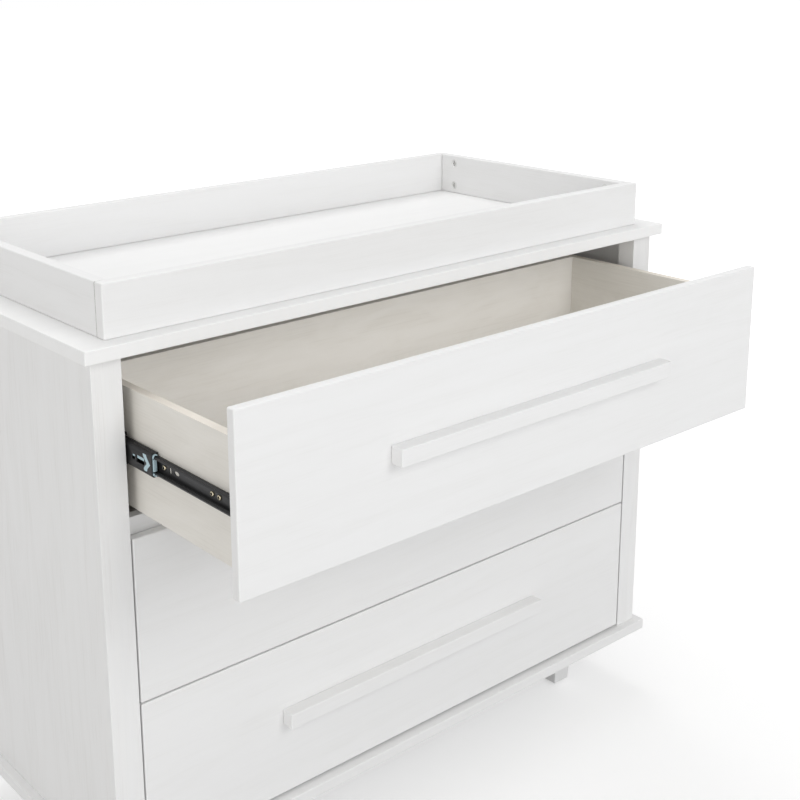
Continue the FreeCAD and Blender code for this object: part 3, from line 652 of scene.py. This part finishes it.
# Painted light: the back and bottom are much paler than the sides, partly their own tone and partly
# to stand in for the light inside the drawer.
washed_across_lightened = grained("washed board, grain left to right", "X", (0.945, 0.922, 0.88),
                        (0.905, 0.878, 0.828), fibre_mm=2.2, figure_mm=46, stretch=3.2,
                        pores=0.04, relief_mm=0.04, roughness=0.5)
washed_deep = grained("washed board, grain front to back", "Y", (0.815, 0.79, 0.74),
                      (0.768, 0.741, 0.686), fibre_mm=2.2, figure_mm=46, stretch=3.2,
                      pores=0.04, relief_mm=0.04, roughness=0.5)

tree = washed_deep.node_tree
facing_up = one_axis(tree, tree.nodes.new("ShaderNodeNewGeometry").outputs["True Normal"], "Z")
paint_over(washed_deep, calculate(tree, "GREATER_THAN", facing_up, 0.5), (0.84, 0.79, 0.71))

for drawer in drawers:
    finish_nodes(washed_deep, f"{drawer}_drawer_side_left", f"{drawer}_drawer_side_right")
    finish_nodes(washed_across_lightened, f"{drawer}_drawer_back", f"{drawer}_drawer_bottom")


# ---- Slides: members fixed to the case --------------------------------------------------------
# Ball-bearing drawer slides of black coated sheet steel, rolled to a C with turned-in lips. The
# outer member is screwed to the wooden strips inside the case.

black_coat = plain_finish("black coated steel", (0.022, 0.022, 0.023), (0.014, 0.014, 0.015),
                          metallic=0.0, roughness=0.34, grain_mm=1.2, relief_mm=0.02)
black_coat.node_tree.nodes["Principled BSDF"].inputs["Specular IOR Level"].default_value = 0.32
strip_face_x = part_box("slide_case_members")[0].x
steel_gauge = 0.0012


def rolled_channel(name, web, height, y_front, y_back, z_middle, turns, gauge, bend):
    """A channel of bent sheet by the left side of the drawer: web is how far the middle of its
    web lies from the wooden strip's face, and turns are the steps of its two flanges from the
    web, to the right and away from the channel's middle."""
    web_x = strip_face_x + web
    y_middle = (y_front + y_back) / 2
    bpy.ops.mesh.primitive_plane_add(size=1, location=(web_x, y_middle, z_middle),
                                     rotation=(0, radians(90), 0))
    bpy.context.object.scale = (height, y_back - y_front, 1)
    channel = start(name)
    bpy.ops.object.mode_set(mode="EDIT")
    for way in (1, -1):
        pick("edges", lambda place: near(place.z, z_middle + way * height / 2))
        for across, up in turns:
            extrude(across, 0, way * up)
    pick("edges", lambda place: near(place.x, web_x) and near(place.y, y_middle)
         and near(abs(place.z - z_middle), height / 2))
    bpy.ops.mesh.bevel(offset=bend, segments=5, affect="EDGES")
    bpy.ops.object.mode_set(mode="OBJECT")
    modify(channel, "SOLIDIFY", thickness=gauge, offset=0, use_even_offset=True)
    modify(channel, "BEVEL", width=0.00018, segments=2, limit_method="ANGLE",
           angle_limit=radians(50))
    return channel


left_members = [solid for solid in solids_in("slide_case_members") if solid[0].x < 0]
low, high, _ = left_members[0]
case_member = rolled_channel(
    "case member", web=steel_gauge / 2, height=high.z - low.z - steel_gauge, y_front=low.y,
    y_back=high.y, z_middle=(low.z + high.z) / 2,
    turns=((0.0062, -0.0008), (0.0032, 0.0006), (0.0002, -0.0030)), gauge=steel_gauge, bend=0.003)
channels = repeat(case_member, left_members)
channels += [copy_of(each, mirrored=True) for each in channels]
dress(join(channels, "slide_case_channels"), black_coat, "case", "black_steel",
      "slide_case_members")


# ---- Slides: runners --------------------------------------------------------------------------
# The channel between a slide's outer and inner member, of the same black steel, with two windows
# in its web near the front end, through which the plastic of its ball retainer shows.

low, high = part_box("top_drawer_slide_runners")
runner_front = low.y
runner_web = low.x - strip_face_x + steel_gauge / 2
slide_z = (low.z + high.z) / 2
runner = rolled_channel(
    "runner", web=runner_web, height=high.z - low.z - steel_gauge, y_front=low.y, y_back=high.y,
    z_middle=slide_z, turns=((0.0036, 0.0), (0.0009, -0.0010), (0.0016, 0.0), (0.0009, 0.0010),
                             (0.0010, 0.0), (0.0002, -0.0024)), gauge=steel_gauge, bend=0.003)


def at_slide(out, y, up=0):
    """A place by the top drawer's left slide: how far it lies from the wooden strip's face, and
    how far above the slide's middle."""
    return Vector((strip_face_x + out, y, slide_z + up))


for behind_front, length, tall in ((0.017, 0.018, 0.0092), (0.0385, 0.007, 0.0067)):
    middle = at_slide(runner_web, runner_front + behind_front + length / 2)
    window = block("window", middle, (0.006, length, tall))
    bpy.ops.object.mode_set(mode="EDIT")
    pick("edges", lambda place: near(place.x, middle.x))
    bpy.ops.mesh.bevel(offset=0.0008, segments=3, affect="EDGES")
    bpy.ops.object.mode_set(mode="OBJECT")
    cut(runner, window)


def fit_pairs(left, kind, material, body, slot, node):
    """Pairs a part of the left slide with its mirror image, and gives each drawer such a pair."""
    top_pair = join([left, copy_of(left, mirrored=True)], f"top_{kind}_pair")
    top_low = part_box(f"top_drawer_{node}")[0]
    for drawer in ("middle", "bottom"):
        pair = copy_of(top_pair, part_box(f"{drawer}_drawer_{node}")[0] - top_low)
        pair.name = f"{drawer}_{kind}_pair"
        dress(pair, material, f"{drawer}_{body}", slot, f"{drawer}_drawer_{node}")
    dress(top_pair, material, f"top_{body}", slot, f"top_drawer_{node}")


fit_pairs(runner, "runner", black_coat, "runners", "black_steel", "slide_runners")


# ---- Slides: ball retainers -------------------------------------------------------------------
# Pale blue moulded plastic that lines the runner's front end and keeps its balls in their rows.
# Curls above and below close the end beside a thick strip, and a wavy tongue grips the web.

blue = plain_finish("pale blue moulded plastic", (0.50, 0.65, 0.71), (0.45, 0.60, 0.66),
                    metallic=0.0, roughness=0.42, grain_mm=2.0, relief_mm=0.02)
low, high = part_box("top_drawer_slide_retainers")
retainer_front = low.y
liner = rolled_channel(
    "liner", web=0.00345, height=0.0274, y_front=runner_front + 0.001, y_back=high.y,
    z_middle=slide_z, turns=((0.0048, 0.0), (0.0008, -0.0004)), gauge=0.0011, bend=0.003)
cut(liner, block("opening", at_slide(0.0035, runner_front + 0.0325, -0.005),
                 (0.004, 0.031, 0.010)))

curls = rolled_channel(
    "curls", web=0.0037, height=0.0266, y_front=retainer_front, y_back=retainer_front + 0.0036,
    z_middle=slide_z, turns=((0.0040, 0.0), (0.0016, -0.0012)), gauge=0.0017, bend=0.0028)
cut(curls, block("gap", at_slide(0.0037, retainer_front), (0.004, 0.02, 0.0190)))

strip_thick = 0.0030
strip = block("strip", at_slide(0.0059, retainer_front + strip_thick / 2),
              (0.0054, strip_thick, 0.0160))
bpy.ops.object.mode_set(mode="EDIT")
pick("faces", lambda place: near(place.y, retainer_front + strip_thick))
bpy.ops.mesh.inset(thickness=0.0016, depth=0)
extrude(-0.0016, 0.0040, 0)
bpy.ops.object.mode_set(mode="OBJECT")
modify(strip, "BEVEL", width=0.0008, segments=3, limit_method="ANGLE", angle_limit=radians(50))

tongue_width, first_step = 0.0076, 0.0006
bpy.ops.mesh.primitive_plane_add(size=1, location=at_slide(0.0021, runner_front + 0.0155, 0.0108),
                                 rotation=(0, radians(90), 0))
bpy.context.object.scale = (first_step, tongue_width, 1)
tongue = start("tongue")
bpy.ops.object.mode_set(mode="EDIT")
pick("edges", lambda place: near(place.z, slide_z + 0.0108 - first_step / 2))
for along, up in ((-0.0005, -0.0025), (-0.0030, -0.0030), (-0.0025, -0.0030), (-0.0025, -0.0020),
                  (0.0020, -0.0020), (0.0035, -0.0030), (0.0025, -0.0030), (-0.0010, -0.0025)):
    extrude(0, along, up)
bpy.ops.object.mode_set(mode="OBJECT")
modify(tongue, "SUBSURF", levels=2, render_levels=2)
modify(tongue, "SOLIDIFY", thickness=0.0016, offset=0, use_even_offset=True)
modify(tongue, "BEVEL", width=0.0003, segments=2, limit_method="ANGLE", angle_limit=radians(50))

retainer = join([liner, curls, strip, tongue], "retainer")
fit_pairs(retainer, "retainer", blue, "runners", "blue_plastic", "slide_retainers")


# ---- Slides: drawer members -------------------------------------------------------------------
# The innermost channel, screwed flat to the drawer's side. Its flanges are rolled to a race for
# the balls, and its web has the adjusting slots, a spare hole and a dimple at each screw.

low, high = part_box("top_drawer_slide_drawer_members")
member_front = low.y
member_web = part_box("top_drawer_side_left")[0].x - strip_face_x - steel_gauge / 2
member = rolled_channel(
    "drawer member", web=member_web, height=high.z - low.z - steel_gauge, y_front=low.y,
    y_back=high.y, z_middle=slide_z,
    turns=((-0.0022, 0.0), (-0.0018, -0.0015), (-0.0018, 0.0015), (-0.0010, 0.0),
           (-0.0006, -0.0020)), gauge=steel_gauge, bend=0.0014)
through, dimple_depth = 0.006, 0.0014
holes = [(0.1206, 0, 0.0105, 0.0056, through), (0.1346, 0, 0.0044, 0.0110, through),
         (0.0456, 0.005, 0.0030, 0.0030, through)]
for low, high, _ in filter(lies_across, solids_in("top_drawer_screws")):
    if high.x < 0:
        holes.append(((low.y + high.y) / 2 - member_front, 0, 0.0076, 0.0076, dimple_depth))
for behind_front, up, length, tall, depth in holes:
    bpy.ops.mesh.primitive_cylinder_add(
        vertices=32, radius=0.5, depth=depth, rotation=(0, radians(90), 0),
        location=at_slide(member_web - steel_gauge / 2, member_front + behind_front, up))
    bpy.context.object.scale = (tall, length, 1)
    cut(member, start("hole"))
fit_pairs(member, "drawer_member", black_coat, "drawer", "black_steel", "slide_drawer_members")


# ---- Screws of the drawers --------------------------------------------------------------------
# Pale yellow plated wood screws through the drawer members into the sides, and machine screws
# from inside through each front into its handle.

plating = plain_finish("pale yellow plating", (0.66, 0.59, 0.44), (0.50, 0.44, 0.31),
                       metallic=1.0, roughness=0.32, grain_mm=0.6, relief_mm=0.02)
slide_screw = make_screw("slide screw", head=0.0064, height=0.0018, shank=0.0035, length=0.009)
handle_screw = make_screw("handle screw", head=0.009, height=0.0026, shank=0.004, length=0.026)
for drawer in drawers:
    solids = solids_in(f"{drawer}_drawer_screws")
    placed = place_screws(slide_screw, [solid for solid in solids if lies_across(solid)])
    placed += place_screws(handle_screw, [solid for solid in solids if not lies_across(solid)])
    dress(join(placed, f"{drawer}_drawer_screw_set"), plating, f"{drawer}_drawer", "plated_steel",
          f"{drawer}_drawer_screws")
for pattern in (slide_screw, handle_screw):
    bpy.data.objects.remove(pattern)
